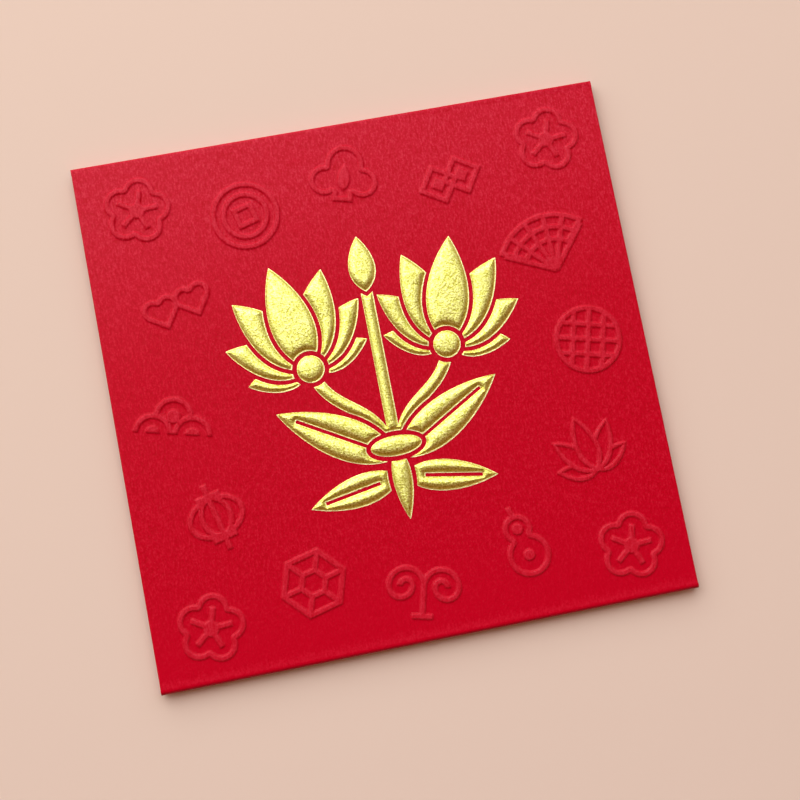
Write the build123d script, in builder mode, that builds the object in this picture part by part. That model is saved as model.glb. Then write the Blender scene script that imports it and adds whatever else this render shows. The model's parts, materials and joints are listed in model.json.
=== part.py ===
# A square red gift envelope, folded from card, lying on its back with the decorated front up.
# X points to the right of the front, Y to the top edge, where the flap folds over, and Z out of the front.
# The origin is at the middle of the base, on the surface that the envelope lies on.
import os

from build123d import *

os.makedirs("parts", exist_ok=True)

# Closed envelope, over the folds
WIDTH = 90.0
HEIGHT = 88.5

# Card and films
CARD = 0.35
GLUE_FILM = 0.06
TAPE_FILM = 0.10
RELEASE_FILM = 0.06
FOIL_FILM = 0.03

# Room between the layers
POCKET_ROOM = 0.50
FLAP_CLEARANCE = 0.15
FLAP_ROOT_CLEARANCE = 0.05

# Back panel, with its thumb notch
BACK_INSET = 0.8
MOUTH_DROP = 7.0
BACK_CORNER = 3.0
NOTCH_WIDTH = 22.0
NOTCH_DEPTH = 6.0

# Side tabs and the glue on them
TAB_WIDTH = 15.0
TAB_TAPER = 5.0
GLUE_WIDTH = 7.0
GLUE_INSET = 3.0
GLUE_END_INSET = 4.0

# Closure flap and its closing strip
FLAP_LENGTH = 32.0
FLAP_TAPER = 7.0
FLAP_CORNER = 6.0
TAPE_WIDTH = 6.0
TAPE_INSET = 4.0
TAPE_END_INSET = 7.0
RELEASE_MARGIN = 0.8

# Gold emblem: twin lotus blossoms with a bud, tied stems and leaves
EMBLEM_RISE = 0.50
EMBLEM_GAP = 0.80
BLOSSOM_SPREAD = 11.6
BLOSSOM_FOOT = 3.6
BLOSSOM_LEAN = 12.0
PETAL_LENGTH = 18.5
PETAL_WIDTH = 8.0
PETAL_TURN = 28.0
CUP_WIDTH = 4.6
BUD_FOOT = 14.8
BUD_LENGTH = 9.6
BUD_WIDTH = 5.0
STEM_WIDTH = 2.0
TIE_DROP = 11.6
TIE_WIDTH = 8.6
TIE_HEIGHT = 3.4
ROOT_LENGTH = 12.4
ROOT_WIDTH = 3.6
LEAF_LENGTH = 21.5
LEAF_WIDTH = 7.8
LEAF_TURN = 60.0
LEAF_DROP = 13.6
LOW_LEAF_LENGTH = 16.0
LOW_LEAF_WIDTH = 5.8
LOW_LEAF_TURN = 100.0
LOW_LEAF_DROP = 16.6
VEIN_WIDTH = 0.6

# Petals of a blossom, from the front one to the outermost pair
PETAL_LENGTH_shares = (1.00, 0.92, 0.78, 0.58)
PETAL_WIDTH_shares = (1.00, 0.95, 0.84, 0.68)
# Curve of a petal's edge, as shares of its width and length
PETAL_FOOT_shares = (0.85, 0.30)
PETAL_TIP_shares = (0.30, 0.82)
# Curve of a stem, as shares of the way out to its blossom and of the way down to the tie
STEM_HEAD_shares = (0.86, 0.55)
STEM_BEND_shares = (0.20, 0.45)
# Where a leaf's vein begins and ends along it
VEIN_START_share = 0.24
VEIN_END_share = 0.84

# Small blind-embossed motifs in a staggered ring round the emblem
MOTIF_RISE = 0.22
MOTIF_WIDTH = 11.6
MOTIF_STROKE = 0.85
MOTIF_TURN = 14.0
RING_MARGIN = 9.0
RING_STAGGER = 4.0
PLACES_A_SIDE = 4
SIDES = 4

# Parts of the motifs, as shares of a motif's width
COIN_WINDOW_share = 0.32
COIN_BAND_share = 0.70
PAIR_WIDTH_share = 0.64
PAIR_CORE_share = 0.24
GOURD_TOP_shares = (0.42, 0.20)
GOURD_BELLY_shares = (0.62, -0.20)
GOURD_SEED_share = 0.16
GOURD_STALK_share = 0.16
PLUM_REACH_share = 0.26
PLUM_LOBE_share = 0.46
PLUM_EYE_share = 0.20
PLUM_STAMEN_share = 0.30
PLUM_LOBES = 5
SCROLL_TURN_shares = (0.50, 0.34, 0.18)
SCROLL_DROP_share = 0.42
SCROLL_TAIL_share = 0.30
HEAD_TOP_shares = (0.56, 0.16)
HEAD_LOBE_shares = (0.44, 0.28, -0.10)
HEAD_NECK_shares = (0.30, -0.22, 0.36)
HEAD_DROP_shares = (0.40, 0.20, -0.24)
LATTICE_STEP_share = 0.22
LATTICE_BARS = 3
SHELL_CORE_share = 0.46
SHELL_SIDES = 6
FAN_REACH_share = 0.86
FAN_HEM_share = 0.42
FAN_BAND_share = 0.64
FAN_PIVOT_share = -0.44
FAN_SPREAD = 104.0
FAN_RIBS = 6
WAVE_WIDTH_share = 0.56
WAVE_CORE_share = 0.20
WAVE_LIFT_share = 0.25
LANTERN_shares = (0.84, 0.62)
LANTERN_RIB_share = 0.48
LANTERN_CAP_share = 0.36
LANTERN_TASSEL_share = 0.18
FLOWER_FOOT_share = -0.40
FLOWER_LENGTH_shares = (0.86, 0.78, 0.60)
FLOWER_WIDTH_shares = (0.40, 0.36, 0.30)
FLOWER_TURN = 34.0
HEART_SIDE_share = 0.32
HEART_REACH_share = 0.24
FULL_TURN = 360.0

# Layers of the closed envelope, from the base up
flap_top = CARD
back_bottom = flap_top + TAPE_FILM + RELEASE_FILM + FLAP_CLEARANCE
back_top = back_bottom + CARD
tab_bottom = back_top + GLUE_FILM
tab_top = tab_bottom + CARD
front_bottom = tab_top + POCKET_ROOM
front_top = front_bottom + CARD

# Outer radii of the folds, and the flat front that they leave
side_fold_radius = (front_top - tab_bottom) / 2
bottom_fold_radius = (front_top - back_bottom) / 2
flap_fold_radius = front_top / 2
front_side = WIDTH / 2 - side_fold_radius
front_low = bottom_fold_radius - HEIGHT / 2
front_high = HEIGHT / 2 - flap_fold_radius
front_length = front_high - front_low
front_middle = (front_high + front_low) / 2


def petal(length, width, grow=0):
    """A pointed petal or leaf, from its foot at the origin along Y, grown all round for a gap's edge."""
    grown_length = length + 2 * grow
    grown_width = width + 2 * grow
    foot = (PETAL_FOOT_shares[0] * grown_width, PETAL_FOOT_shares[1] * grown_length - grow)
    tip = (PETAL_TIP_shares[0] * grown_width, PETAL_TIP_shares[1] * grown_length - grow)
    with BuildSketch() as shape:
        with BuildLine():
            edge = Bezier((0, -grow), foot, tip, (0, length + grow))
            mirror(edge, about=Plane.YZ)
        make_face()
    return shape.sketch


def veined_leaf(length, width):
    """A leaf along Y, with a slit for its vein."""
    blade = petal(length, width)
    vein_length = (VEIN_END_share - VEIN_START_share) * length
    with BuildSketch() as shape:
        add(blade)
        with Locations((0, VEIN_START_share * length)):
            Rectangle(VEIN_WIDTH, vein_length, align=(Align.CENTER, Align.MIN), mode=Mode.SUBTRACT)
    return shape.sketch


def disc(width, height, grow=0):
    """A round or oval disc, grown all round for a gap's edge."""
    with BuildSketch() as shape:
        Ellipse(width / 2 + grow, height / 2 + grow)
    return shape.sketch


def lay_over(shape, halo, turn=0):
    """Lay a shape over the sketch at hand, with its halo cut away round it."""
    add(halo, rotation=turn, mode=Mode.SUBTRACT)
    add(shape, rotation=turn)


def loop(width, height):
    """An oval line of a motif's stroke."""
    with BuildSketch() as shape:
        Ellipse(width / 2, height / 2)
        Ellipse(width / 2 - MOTIF_STROKE, height / 2 - MOTIF_STROKE, mode=Mode.SUBTRACT)
    return shape.sketch


def outlined(shape):
    """The outline of a shape of lines and arcs, as wide as a motif's stroke."""
    inside = offset(shape, amount=-MOTIF_STROKE)
    with BuildSketch() as outline:
        add(shape)
        add(inside, mode=Mode.SUBTRACT)
    return outline.sketch


def outlined_petal(length, width):
    """The outline of a petal, as wide as a motif's stroke."""
    blade = petal(length, width)
    inside = petal(length, width, grow=-MOTIF_STROKE)
    with BuildSketch() as outline:
        add(blade)
        add(inside, mode=Mode.SUBTRACT)
    return outline.sketch


# One lotus blossom, with its foot at the origin
cup = disc(CUP_WIDTH, CUP_WIDTH)
cup_halo = disc(CUP_WIDTH, CUP_WIDTH, grow=EMBLEM_GAP)
petals = []
petal_halos = []
for length_share, width_share in zip(PETAL_LENGTH_shares, PETAL_WIDTH_shares):
    petal_size = (length_share * PETAL_LENGTH, width_share * PETAL_WIDTH)
    petals.append(petal(*petal_size))
    petal_halos.append(petal(*petal_size, grow=EMBLEM_GAP))
with BuildSketch() as blossom:
    add(cup)
    for place in reversed(range(1, len(petals))):
        for side in (-1, 1):
            lay_over(petals[place], petal_halos[place], turn=side * place * PETAL_TURN)
    lay_over(petals[0], petal_halos[0])
    lay_over(cup, cup_halo)

# Stems from the tie up to the bud and out to the blossoms
stem_fall = TIE_DROP + BLOSSOM_FOOT
stem_head = (STEM_HEAD_shares[0] * BLOSSOM_SPREAD, BLOSSOM_FOOT - STEM_HEAD_shares[1] * stem_fall)
stem_bend = (STEM_BEND_shares[0] * BLOSSOM_SPREAD, BLOSSOM_FOOT - STEM_BEND_shares[1] * stem_fall)
with BuildSketch() as stems:
    with BuildLine():
        Bezier((BLOSSOM_SPREAD, BLOSSOM_FOOT), stem_head, stem_bend, (STEM_WIDTH / 2, -TIE_DROP))
    trace(line_width=STEM_WIDTH)
    mirror(about=Plane.YZ)
    with Locations((0, -TIE_DROP)):
        Rectangle(STEM_WIDTH, TIE_DROP + BUD_FOOT, align=(Align.CENTER, Align.MIN))

# Whole emblem, the parts behind first
bud = petal(BUD_LENGTH, BUD_WIDTH)
bud_halo = petal(BUD_LENGTH, BUD_WIDTH, grow=EMBLEM_GAP)
root = petal(ROOT_LENGTH, ROOT_WIDTH)
root_halo = petal(ROOT_LENGTH, ROOT_WIDTH, grow=EMBLEM_GAP)
leaf = veined_leaf(LEAF_LENGTH, LEAF_WIDTH)
leaf_halo = petal(LEAF_LENGTH, LEAF_WIDTH, grow=EMBLEM_GAP)
low_leaf = veined_leaf(LOW_LEAF_LENGTH, LOW_LEAF_WIDTH)
low_leaf_halo = petal(LOW_LEAF_LENGTH, LOW_LEAF_WIDTH, grow=EMBLEM_GAP)
tie = disc(TIE_WIDTH, TIE_HEIGHT)
tie_halo = disc(TIE_WIDTH, TIE_HEIGHT, grow=EMBLEM_GAP)
with BuildSketch() as emblem:
    add(stems.sketch)
    for side in (-1, 1):
        with Locations((0, -LOW_LEAF_DROP)):
            lay_over(low_leaf, low_leaf_halo, turn=side * LOW_LEAF_TURN)
        with Locations((0, -LEAF_DROP)):
            lay_over(leaf, leaf_halo, turn=side * LEAF_TURN)
        with Locations(Location((side * BLOSSOM_SPREAD, BLOSSOM_FOOT, 0), (0, 0, -side * BLOSSOM_LEAN))):
            lay_over(blossom.sketch, cup_halo)
    with Locations((0, BUD_FOOT)):
        lay_over(bud, bud_halo)
    with Locations((0, -TIE_DROP)):
        lay_over(root, root_halo, turn=180)
        lay_over(tie, tie_halo)

# Coin with a square window
with BuildSketch() as coin_window:
    Rectangle(COIN_WINDOW_share * MOTIF_WIDTH, COIN_WINDOW_share * MOTIF_WIDTH)
coin_frame = outlined(coin_window.sketch)
coin_rim = loop(MOTIF_WIDTH, MOTIF_WIDTH)
coin_band = loop(COIN_BAND_share * MOTIF_WIDTH, COIN_BAND_share * MOTIF_WIDTH)
with BuildSketch() as coin:
    add(coin_rim)
    add(coin_band)
    add(coin_frame)

# Two linked lozenges, each round a small core
pair_width = PAIR_WIDTH_share * MOTIF_WIDTH
pair_reach = (MOTIF_WIDTH - pair_width) / 2
with BuildSketch() as lozenge_shape:
    RegularPolygon(pair_width / 2, 4)
lozenge = outlined(lozenge_shape.sketch)
with BuildSketch() as lozenge_pair:
    with Locations((-pair_reach, 0), (pair_reach, 0)):
        add(lozenge)
        RegularPolygon(PAIR_CORE_share * MOTIF_WIDTH / 2, 4)

# Gourd with a stalk and a seed in each bulb
gourd_top = GOURD_TOP_shares[1] * MOTIF_WIDTH
gourd_belly = GOURD_BELLY_shares[1] * MOTIF_WIDTH
with BuildSketch() as gourd_shape:
    with Locations((0, gourd_top)):
        Circle(GOURD_TOP_shares[0] * MOTIF_WIDTH / 2)
    with Locations((0, gourd_belly)):
        Circle(GOURD_BELLY_shares[0] * MOTIF_WIDTH / 2)
gourd_outline = outlined(gourd_shape.sketch)
with BuildSketch() as gourd:
    add(gourd_outline)
    with Locations((0, gourd_top), (0, gourd_belly)):
        Circle(GOURD_SEED_share * MOTIF_WIDTH / 2)
    with Locations((0, gourd_top + (GOURD_TOP_shares[0] * MOTIF_WIDTH - MOTIF_STROKE) / 2)):
        Rectangle(MOTIF_STROKE, GOURD_STALK_share * MOTIF_WIDTH, align=(Align.CENTER, Align.MIN))

# Plum blossom
with BuildSketch() as plum_shape:
    with PolarLocations(PLUM_REACH_share * MOTIF_WIDTH, PLUM_LOBES, start_angle=FULL_TURN / 4):
        Circle(PLUM_LOBE_share * MOTIF_WIDTH / 2)
plum_outline = outlined(plum_shape.sketch)
with BuildSketch() as plum_blossom:
    add(plum_outline)
    Circle(PLUM_EYE_share * MOTIF_WIDTH / 2)
    with PolarLocations(0, PLUM_LOBES, start_angle=FULL_TURN / 4):
        Rectangle(PLUM_STAMEN_share * MOTIF_WIDTH, MOTIF_STROKE, align=(Align.MIN, Align.CENTER))

# Cloud of two scrolls on a tail, each scroll a run of shrinking half turns
with BuildSketch() as cloud_scroll:
    with BuildLine():
        inner_end = 0
        heading = 1
        for turn_share in SCROLL_TURN_shares:
            turn_width = turn_share * MOTIF_WIDTH
            middle = inner_end + heading * turn_width / 2
            start_angle = FULL_TURN / 2 if heading > 0 else 0
            CenterArc((middle, 0), turn_width / 2, start_angle, -FULL_TURN / 2)
            inner_end = inner_end + heading * turn_width
            heading = -heading
    trace(line_width=MOTIF_STROKE)
    mirror(about=Plane.YZ)
    with Locations((0, MOTIF_STROKE / 2)):
        Rectangle(MOTIF_STROKE, SCROLL_DROP_share * MOTIF_WIDTH, align=(Align.CENTER, Align.MAX))
    with Locations((0, -SCROLL_DROP_share * MOTIF_WIDTH)):
        Rectangle(SCROLL_TAIL_share * MOTIF_WIDTH, MOTIF_STROKE)

# Three-lobed cloud head with a drop inside
with BuildSketch() as head_shape:
    with Locations((0, HEAD_TOP_shares[1] * MOTIF_WIDTH)):
        Circle(HEAD_TOP_shares[0] * MOTIF_WIDTH / 2)
    lobe_x = HEAD_LOBE_shares[1] * MOTIF_WIDTH
    lobe_y = HEAD_LOBE_shares[2] * MOTIF_WIDTH
    with Locations((-lobe_x, lobe_y), (lobe_x, lobe_y)):
        Circle(HEAD_LOBE_shares[0] * MOTIF_WIDTH / 2)
    with Locations((0, HEAD_NECK_shares[1] * MOTIF_WIDTH)):
        Rectangle(HEAD_NECK_shares[0] * MOTIF_WIDTH, HEAD_NECK_shares[2] * MOTIF_WIDTH)
head_outline = outlined(head_shape.sketch)
head_drop = petal(HEAD_DROP_shares[0] * MOTIF_WIDTH, HEAD_DROP_shares[1] * MOTIF_WIDTH)
with BuildSketch() as cloud_head:
    add(head_outline)
    with Locations((0, HEAD_DROP_shares[2] * MOTIF_WIDTH)):
        add(head_drop)

# Round window lattice
lattice_rim = loop(MOTIF_WIDTH, MOTIF_WIDTH)
lattice_step = LATTICE_STEP_share * MOTIF_WIDTH
with BuildSketch() as round_lattice:
    with GridLocations(0, lattice_step, 1, LATTICE_BARS):
        Rectangle(MOTIF_WIDTH, MOTIF_STROKE)
    with GridLocations(lattice_step, 0, LATTICE_BARS, 1):
        Rectangle(MOTIF_STROKE, MOTIF_WIDTH)
    Circle((MOTIF_WIDTH - MOTIF_STROKE) / 2, mode=Mode.INTERSECT)
    add(lattice_rim)

# Tortoise-shell hexagon
with BuildSketch() as shell_shape:
    RegularPolygon(MOTIF_WIDTH / 2, SHELL_SIDES)
with BuildSketch() as shell_core_shape:
    RegularPolygon(SHELL_CORE_share * MOTIF_WIDTH / 2, SHELL_SIDES)
shell_rim = outlined(shell_shape.sketch)
shell_core = outlined(shell_core_shape.sketch)
spoke_start = SHELL_CORE_share * MOTIF_WIDTH / 2 - MOTIF_STROKE
spoke_length = MOTIF_WIDTH / 2 - MOTIF_STROKE - spoke_start
with BuildSketch() as tortoise_shell:
    add(shell_rim)
    add(shell_core)
    with PolarLocations(spoke_start, SHELL_SIDES):
        Rectangle(spoke_length, MOTIF_STROKE, align=(Align.MIN, Align.CENTER))

# Folding fan
fan_reach = FAN_REACH_share * MOTIF_WIDTH
fan_start = (FULL_TURN / 2 - FAN_SPREAD) / 2
with BuildSketch() as fan_shape:
    with BuildLine():
        rim = CenterArc((0, 0), fan_reach, fan_start, FAN_SPREAD)
        hem = CenterArc((0, 0), FAN_HEM_share * MOTIF_WIDTH, fan_start, FAN_SPREAD)
        Line(rim @ 0, hem @ 0)
        Line(rim @ 1, hem @ 1)
    make_face()
fan_leaf = outlined(fan_shape.sketch)
with BuildSketch() as fan_band:
    with BuildLine():
        CenterArc((0, 0), FAN_BAND_share * MOTIF_WIDTH, fan_start, FAN_SPREAD)
    trace(line_width=MOTIF_STROKE)
with BuildSketch() as folding_fan:
    with Locations((0, FAN_PIVOT_share * MOTIF_WIDTH)):
        add(fan_leaf)
        add(fan_band.sketch)
        with PolarLocations(0, FAN_RIBS, fan_start, FAN_SPREAD, endpoint=True):
            Rectangle(fan_reach - MOTIF_STROKE, MOTIF_STROKE, align=(Align.MIN, Align.CENTER))

# Wave scales, the two lower ones in front
wave_width = WAVE_WIDTH_share * MOTIF_WIDTH
wave_lift = WAVE_LIFT_share * MOTIF_WIDTH
wave_front = disc(wave_width, wave_width)
wave_crest = loop(wave_width, wave_width)
with BuildSketch() as wave:
    add(wave_crest)
    Circle(WAVE_CORE_share * MOTIF_WIDTH / 2)
with BuildSketch() as wave_scales:
    add(wave.sketch)
    for side in (-1, 1):
        with Locations((side * wave_width / 2, -wave_lift)):
            lay_over(wave.sketch, wave_front)
    with Locations((0, -wave_lift)):
        Rectangle(2 * MOTIF_WIDTH, MOTIF_WIDTH, align=(Align.CENTER, Align.MAX), mode=Mode.SUBTRACT)

# Lantern
lantern_height = LANTERN_shares[1] * MOTIF_WIDTH
lantern_body = loop(LANTERN_shares[0] * MOTIF_WIDTH, lantern_height)
lantern_rib = loop(LANTERN_RIB_share * MOTIF_WIDTH, lantern_height)
tassel_drop = LANTERN_TASSEL_share * MOTIF_WIDTH
with BuildSketch() as lantern:
    add(lantern_body)
    add(lantern_rib)
    Rectangle(MOTIF_STROKE, lantern_height)
    with Locations((0, lantern_height / 2), (0, -lantern_height / 2)):
        Rectangle(LANTERN_CAP_share * MOTIF_WIDTH, MOTIF_STROKE)
    with Locations((0, (lantern_height + tassel_drop) / 2), (0, -(lantern_height + tassel_drop) / 2)):
        Rectangle(MOTIF_STROKE, tassel_drop)

# Small lotus in outline, the middle petal in front
flower_lines = []
flower_blades = []
for length_share, width_share in zip(FLOWER_LENGTH_shares, FLOWER_WIDTH_shares):
    flower_size = (length_share * MOTIF_WIDTH, width_share * MOTIF_WIDTH)
    flower_lines.append(outlined_petal(*flower_size))
    flower_blades.append(petal(*flower_size))
with BuildSketch() as lotus:
    with Locations((0, FLOWER_FOOT_share * MOTIF_WIDTH)):
        add(flower_lines[0])
        for place in reversed(range(len(flower_lines))):
            for side in (-1, 1):
                lay_over(flower_lines[place], flower_blades[place], turn=side * place * FLOWER_TURN)

# Two hearts side by side
heart_side = HEART_SIDE_share * MOTIF_WIDTH
with BuildSketch() as heart_shape:
    Rectangle(heart_side, heart_side)
    with Locations((heart_side / 2, 0), (0, heart_side / 2)):
        Circle(heart_side / 2)
heart = outlined(heart_shape.sketch)
with BuildSketch() as heart_pair:
    with Locations((-HEART_REACH_share * MOTIF_WIDTH, 0), (HEART_REACH_share * MOTIF_WIDTH, 0)):
        add(heart, rotation=FULL_TURN / 8)

# Motifs round the emblem, from the upper left corner along each side, every other one set in
ring_motifs = (
    plum_blossom, coin, cloud_head, lozenge_pair,
    plum_blossom, folding_fan, round_lattice, lotus,
    plum_blossom, gourd, cloud_scroll, tortoise_shell,
    plum_blossom, lantern, wave_scales, heart_pair,
)
ring_reach = min(WIDTH, HEIGHT) / 2 - RING_MARGIN
with BuildSketch() as motif_ring:
    for place, motif in enumerate(ring_motifs):
        side, step = divmod(place, PLACES_A_SIDE)
        along = (2 * step / PLACES_A_SIDE - 1) * ring_reach
        inset = RING_STAGGER if step % 2 else 0
        turn = MOTIF_TURN if place % 2 else -MOTIF_TURN
        spot = Vector(along, ring_reach - inset).rotate(Axis.Z, -side * FULL_TURN / SIDES)
        with Locations(Location(spot, (0, 0, turn))):
            add(motif.sketch)

# Front panel, with its blind motifs and the raised bed of the emblem
with BuildPart() as front_panel:
    with BuildSketch(Plane.XY.offset(front_bottom)):
        with Locations((0, front_middle)):
            Rectangle(2 * front_side, front_length)
    extrude(amount=CARD)
    with BuildSketch(Plane.XY.offset(front_top)):
        add(motif_ring.sketch)
    extrude(amount=MOTIF_RISE)
    with BuildSketch(Plane.XY.offset(front_top)):
        add(emblem.sketch)
    extrude(amount=EMBLEM_RISE)
front_panel.part.label = "front_panel"
export_step(front_panel.part, "parts/front_panel.step")

# Gold foil on the raised bed of the emblem
with BuildPart() as gold_emblem:
    with BuildSketch(Plane.XY.offset(front_top + EMBLEM_RISE)):
        add(emblem.sketch)
    extrude(amount=FOIL_FILM)
gold_emblem.part.label = "gold_emblem"
export_step(gold_emblem.part, "parts/gold_emblem.step")


def half_ring(outer_radius):
    """Section of a fold in card, bulging along the sketch's X."""
    with BuildSketch() as section:
        Circle(outer_radius)
        Circle(outer_radius - CARD, mode=Mode.SUBTRACT)
        Rectangle(2 * outer_radius, 2 * outer_radius, align=(Align.MAX, Align.CENTER), mode=Mode.SUBTRACT)
    return section.sketch


# Folds along the two sides, and the tabs and glue behind them
side_section = half_ring(side_fold_radius)
tab_length = front_length - 2 * TAB_TAPER
for side_name, side in (("left", -1), ("right", 1)):
    fold_plane = Plane(
        origin=(side * front_side, front_middle, front_top - side_fold_radius),
        x_dir=(side, 0, 0),
        z_dir=(0, 1, 0),
    )
    with BuildPart() as side_fold:
        with BuildSketch(fold_plane):
            add(side_section)
        extrude(amount=front_length / 2, both=True)
    side_fold.part.label = f"{side_name}_side_fold"
    export_step(side_fold.part, f"parts/{side_name}_side_fold.step")

    tab_edge = side * (front_side - TAB_WIDTH)
    with BuildPart() as side_tab:
        with BuildSketch(Plane.XY.offset(tab_bottom)):
            with BuildLine():
                Polyline(
                    (side * front_side, front_low),
                    (tab_edge, front_low + TAB_TAPER),
                    (tab_edge, front_high - TAB_TAPER),
                    (side * front_side, front_high),
                    close=True,
                )
            make_face()
        extrude(amount=CARD)
    side_tab.part.label = f"{side_name}_side_tab"
    export_step(side_tab.part, f"parts/{side_name}_side_tab.step")

    with BuildPart() as glue_strip:
        with BuildSketch(Plane.XY.offset(back_top)):
            with Locations((tab_edge + side * (GLUE_INSET + GLUE_WIDTH / 2), front_middle)):
                SlotOverall(tab_length - 2 * GLUE_END_INSET, GLUE_WIDTH, rotation=FULL_TURN / 4)
        extrude(amount=GLUE_FILM)
    glue_strip.part.label = f"{side_name}_glue_strip"
    export_step(glue_strip.part, f"parts/{side_name}_glue_strip.step")

# Fold along the bottom edge
bottom_plane = Plane(origin=(0, front_low, front_top - bottom_fold_radius), x_dir=(0, -1, 0), z_dir=(1, 0, 0))
bottom_section = half_ring(bottom_fold_radius)
with BuildPart() as bottom_fold:
    with BuildSketch(bottom_plane):
        add(bottom_section)
    extrude(amount=WIDTH / 2, both=True)
bottom_fold.part.label = "bottom_fold"
export_step(bottom_fold.part, "parts/bottom_fold.step")

# Back panel, with rounded upper corners and a thumb notch
back_high = HEIGHT / 2 - MOUTH_DROP
back_side = WIDTH / 2 - BACK_INSET
notch_radius = (NOTCH_WIDTH**2 / 4 + NOTCH_DEPTH**2) / (2 * NOTCH_DEPTH)
with BuildPart() as back_panel:
    with BuildSketch(Plane.XY.offset(back_bottom)) as back_outline:
        with Locations((0, front_low)):
            Rectangle(2 * back_side, back_high - front_low, align=(Align.CENTER, Align.MIN))
        fillet(back_outline.vertices().group_by(Axis.Y)[-1], BACK_CORNER)
        with Locations((0, back_high - NOTCH_DEPTH + notch_radius)):
            Circle(notch_radius, mode=Mode.SUBTRACT)
    extrude(amount=CARD)
back_panel.part.label = "back_panel"
export_step(back_panel.part, "parts/back_panel.step")

# Fold along the top edge, whose middle line is the flap's hinge axis
flap_plane = Plane(origin=(0, front_high, flap_fold_radius), x_dir=(0, 1, 0), z_dir=(1, 0, 0))
flap_section = half_ring(flap_fold_radius)
with BuildPart() as flap_fold:
    with BuildSketch(flap_plane):
        add(flap_section)
    extrude(amount=WIDTH / 2, both=True)
flap_fold.part.label = "flap_fold"
export_step(flap_fold.part, "parts/flap_fold.step")

# Closure flap, folded down over the back panel
flap_root = front_high - FLAP_ROOT_CLEARANCE
flap_low = HEIGHT / 2 - FLAP_LENGTH
with BuildPart() as closure_flap:
    with BuildSketch() as flap_outline:
        with BuildLine():
            Polyline(
                (-WIDTH / 2, flap_root),
                (FLAP_TAPER - WIDTH / 2, flap_low),
                (WIDTH / 2 - FLAP_TAPER, flap_low),
                (WIDTH / 2, flap_root),
                close=True,
            )
        make_face()
        fillet(flap_outline.vertices().group_by(Axis.Y)[0], FLAP_CORNER)
    extrude(amount=CARD)
closure_flap.part.label = "closure_flap"
export_step(closure_flap.part, "parts/closure_flap.step")

# Closing tape on the flap's inner side, under its release paper
tape_middle = flap_low + TAPE_INSET + TAPE_WIDTH / 2
tape_length = WIDTH - 2 * (FLAP_TAPER + TAPE_END_INSET)
with BuildPart() as closing_tape:
    with BuildSketch(Plane.XY.offset(flap_top)):
        with Locations((0, tape_middle)):
            Rectangle(tape_length, TAPE_WIDTH)
    extrude(amount=TAPE_FILM)
closing_tape.part.label = "closing_tape"
export_step(closing_tape.part, "parts/closing_tape.step")

with BuildPart() as release_paper:
    with BuildSketch(Plane.XY.offset(flap_top + TAPE_FILM)):
        with Locations((0, tape_middle)):
            Rectangle(tape_length + 2 * RELEASE_MARGIN, TAPE_WIDTH + 2 * RELEASE_MARGIN)
    extrude(amount=RELEASE_FILM)
release_paper.part.label = "release_paper"
export_step(release_paper.part, "parts/release_paper.step")
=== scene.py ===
# %% [markdown]
# # A red gift envelope, dressed for its picture
# A small square envelope of dyed red card, with a ring of little embossed ornaments and a raised emblem
# in gold foil stamped in the middle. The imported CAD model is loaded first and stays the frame: it says
# where every panel and fold lies, and which of them turn with the flap. Everything below is built in that
# same frame, in metres, so nothing has to be fitted by eye.

import json
import math

import bmesh
import bpy
import numpy as np
from mathutils import Matrix, Vector, noise
from mathutils.bvhtree import BVHTree
from mathutils.geometry import delaunay_2d_cdt


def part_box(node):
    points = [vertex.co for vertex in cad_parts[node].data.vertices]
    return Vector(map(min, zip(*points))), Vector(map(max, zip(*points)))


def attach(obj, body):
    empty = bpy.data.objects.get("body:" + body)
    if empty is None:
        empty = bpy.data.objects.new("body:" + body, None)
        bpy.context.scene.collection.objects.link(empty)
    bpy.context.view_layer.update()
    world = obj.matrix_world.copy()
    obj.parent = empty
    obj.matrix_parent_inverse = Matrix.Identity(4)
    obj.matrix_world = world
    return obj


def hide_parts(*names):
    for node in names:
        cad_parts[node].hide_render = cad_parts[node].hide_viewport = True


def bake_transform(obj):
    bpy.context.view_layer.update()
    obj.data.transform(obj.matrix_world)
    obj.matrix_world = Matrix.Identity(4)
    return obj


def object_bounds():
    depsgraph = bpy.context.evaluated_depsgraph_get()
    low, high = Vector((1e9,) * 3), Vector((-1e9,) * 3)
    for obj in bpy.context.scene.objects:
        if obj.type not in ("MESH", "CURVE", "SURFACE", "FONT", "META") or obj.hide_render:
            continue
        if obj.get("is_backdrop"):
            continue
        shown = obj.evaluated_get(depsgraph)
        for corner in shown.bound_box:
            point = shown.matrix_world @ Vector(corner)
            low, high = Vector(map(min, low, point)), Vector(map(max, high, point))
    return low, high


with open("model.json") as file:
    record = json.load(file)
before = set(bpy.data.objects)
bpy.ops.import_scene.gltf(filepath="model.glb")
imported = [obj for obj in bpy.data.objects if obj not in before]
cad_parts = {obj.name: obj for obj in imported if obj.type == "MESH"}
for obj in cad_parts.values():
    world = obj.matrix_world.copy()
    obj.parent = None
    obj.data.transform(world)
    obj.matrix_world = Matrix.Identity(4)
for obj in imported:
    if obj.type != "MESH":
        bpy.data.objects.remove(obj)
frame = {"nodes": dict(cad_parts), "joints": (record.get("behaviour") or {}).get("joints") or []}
cad_lowest, cad_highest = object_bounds()
MM = 0.001
cad_sides = [round(side / MM, 2) for side in cad_highest - cad_lowest]
print("frame:", len(frame["nodes"]), "nodes,", cad_sides, "mm")

# %% [markdown]
# The camera comes first, because every later choice is judged through it. Its place could be found by
# trial, but the four corners of the front are enough to work it out: only one lens and one position show
# a rectangle of these sides with these corners. The envelope lies on its back, so that position is above
# it and a little towards its lower edge, and the picture is turned by eleven degrees.

# %% The camera
EYE = Vector((-14.69, -26.86, 225.17)) * MM
AIM = Vector((2.11, -4.13, 1.30)) * MM
CAMERA_UP = Vector((0.184, 0.9764, 0.113))
LENS = 60.64
SENSOR = 36.0
SEEN_FROM = 0.01
SEEN_TO = 20.0

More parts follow.
